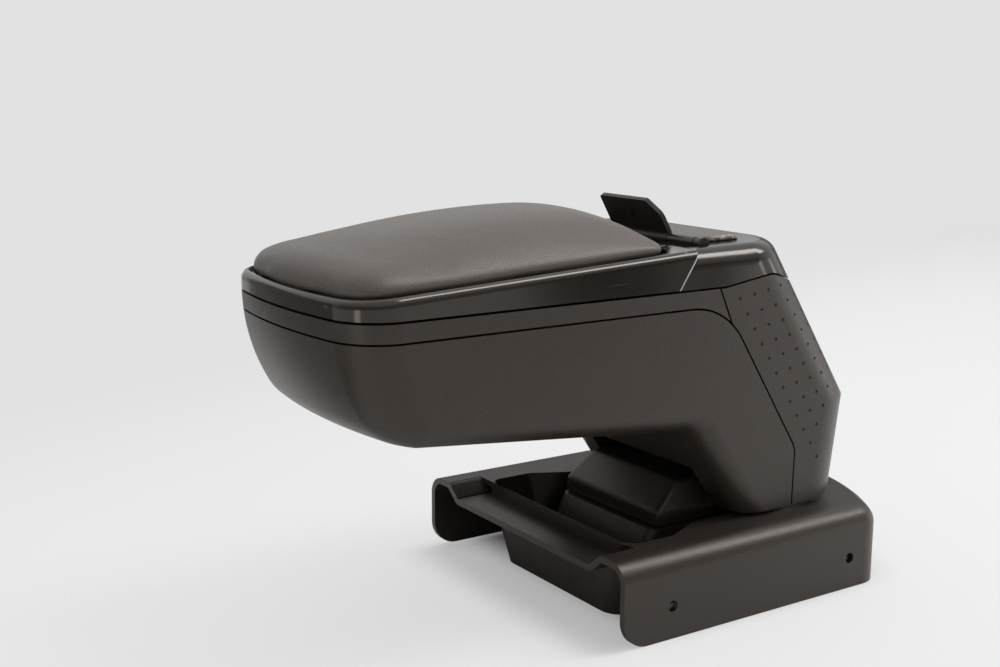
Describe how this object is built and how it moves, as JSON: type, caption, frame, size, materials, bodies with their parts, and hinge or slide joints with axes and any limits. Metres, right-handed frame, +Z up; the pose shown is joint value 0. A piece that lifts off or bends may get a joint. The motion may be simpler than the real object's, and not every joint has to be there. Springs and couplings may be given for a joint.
{
  "type": "car centre armrest",
  "caption": "Car centre armrest: a padded rear-hinged lid over a storage bin, on a raked post that tilts up from a moulded console tray, with a finger tab behind the cushion.",
  "frame": {"origin": "on the plane of the tray's lower edge, on the middle plane, close to midway between the front and rear flange holes", "axes": "+X to the rear of the car, +Y to the car's right, +Z up"},
  "size_m": [0.302, 0.16, 0.1858],
  "materials": {
    "moulded_plastic": "fine-grained, warm dark grey",
    "gloss_plastic": "glossy, warm dark grey",
    "leatherette": "fine-grained leatherette, warm grey",
    "rubber": "matt black",
    "steel": "zinc-plated",
    "nylon": "natural"
  },
  "bodies": {
    "base": {"base_tray": "moulded_plastic", "pivot_cover": "moulded_plastic", "hinge_bracket": "steel", "bracket_screws": "steel", "bracket_nuts": "steel", "cover_screws": "steel", "rest_bumper": "rubber", "pivot_pin": "steel", "pin_clips": "steel"},
    "arm": {"arm_shell": "moulded_plastic", "storage_bin": "moulded_plastic", "bin_screws": "steel", "rear_panel_left": "moulded_plastic", "rear_panel_right": "moulded_plastic", "rear_trim": "gloss_plastic", "rear_pad": "leatherette", "rear_carrier": "moulded_plastic", "trim_screws": "steel", "pivot_bush_left": "nylon", "pivot_bush_right": "nylon", "lid_hinge_pin": "steel", "lid_bumpers": "rubber"},
    "lid": {"lid_frame": "gloss_plastic", "lid_board": "moulded_plastic", "lid_screws": "steel", "cushion": "leatherette"},
    "tab": {"release_tab": "moulded_plastic"}
  },
  "joints": [
    {"name": "arm_tilt", "type": "hinge", "parent": "base", "child": "arm", "pos_m": [0.055, 0, 0.065], "axis": [0, 1, 0], "range_deg": [0, 80]},
    {"name": "lid_open", "type": "hinge", "parent": "arm", "child": "lid", "pos_m": [-0.016, 0, 0.167], "axis": [0, 1, 0], "range_deg": [0, 60]},
    {"name": "tab_pull", "type": "hinge", "parent": "arm", "child": "tab", "pos_m": [-0.016, 0, 0.167], "axis": [0, 1, 0], "range_deg": [0, 30], "stiffness_Nm_per_rad": 0.01, "springref_deg": -17.19}
  ]
}
